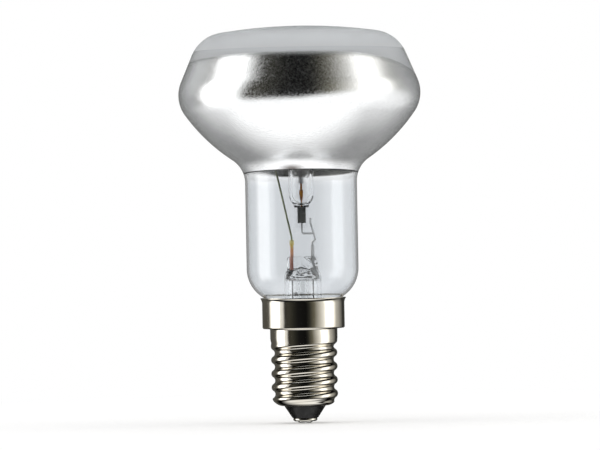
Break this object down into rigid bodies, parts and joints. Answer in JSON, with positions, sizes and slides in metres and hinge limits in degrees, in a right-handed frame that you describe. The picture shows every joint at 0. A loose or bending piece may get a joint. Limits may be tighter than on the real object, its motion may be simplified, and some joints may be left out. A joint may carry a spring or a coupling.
{
  "type": "reflector bulb",
  "caption": "Reflector bulb with a small screw cap, clear neck, satin mirror flare, frosted face and a halogen burner on a glass stem.",
  "frame": {"origin": "on the bulb's axis, at the flat bottom of the centre contact", "axes": "+Z runs along the bulb's axis from the centre contact to the face, -Y faces the camera of the picture and +X is to its right"},
  "size_m": [0.05, 0.05, 0.082],
  "materials": {
    "bulb_glass": "clear soda glass, frosted inside the face",
    "mirror": "satin vacuum-coated aluminium",
    "stem_glass": "clear pressed glass",
    "quartz": "clear quartz",
    "seal_wire": "copper-clad seal wire, red under the glass",
    "support_wire": "drawn nickel-plated wire",
    "lead_wire": "dark drawn wire",
    "molybdenum": "rolled foil and drawn wire",
    "tungsten": "coiled wire",
    "getter": "tungsten leg with a red-brown getter coat",
    "nickel_plate": "bright nickel plate on rolled sheet",
    "black_glass": "gloss black cast glass",
    "contact": "plated disc",
    "solder": "set solder",
    "cement": "matt baked cement"
  },
  "bodies": {
    "root": {"outer_bulb": "bulb_glass", "mirror_coating": "mirror", "stem": "stem_glass", "exhaust_tube": "stem_glass", "left_seal_wire": "seal_wire", "right_seal_wire": "seal_wire", "long_support_wire": "support_wire", "short_support_wire": "support_wire", "burner_tube": "quartz", "lower_foil": "molybdenum", "upper_foil": "molybdenum", "lower_burner_lead": "molybdenum", "upper_burner_lead": "molybdenum", "lower_filament_leg": "getter", "upper_filament_leg": "tungsten", "filament": "tungsten", "screw_shell": "nickel_plate", "side_lead": "lead_wire", "centre_lead": "lead_wire", "cap_insulator": "black_glass", "contact_plate": "contact", "contact_solder": "solder", "capping_cement": "cement", "side_weld": "solder"}
  },
  "joints": []
}
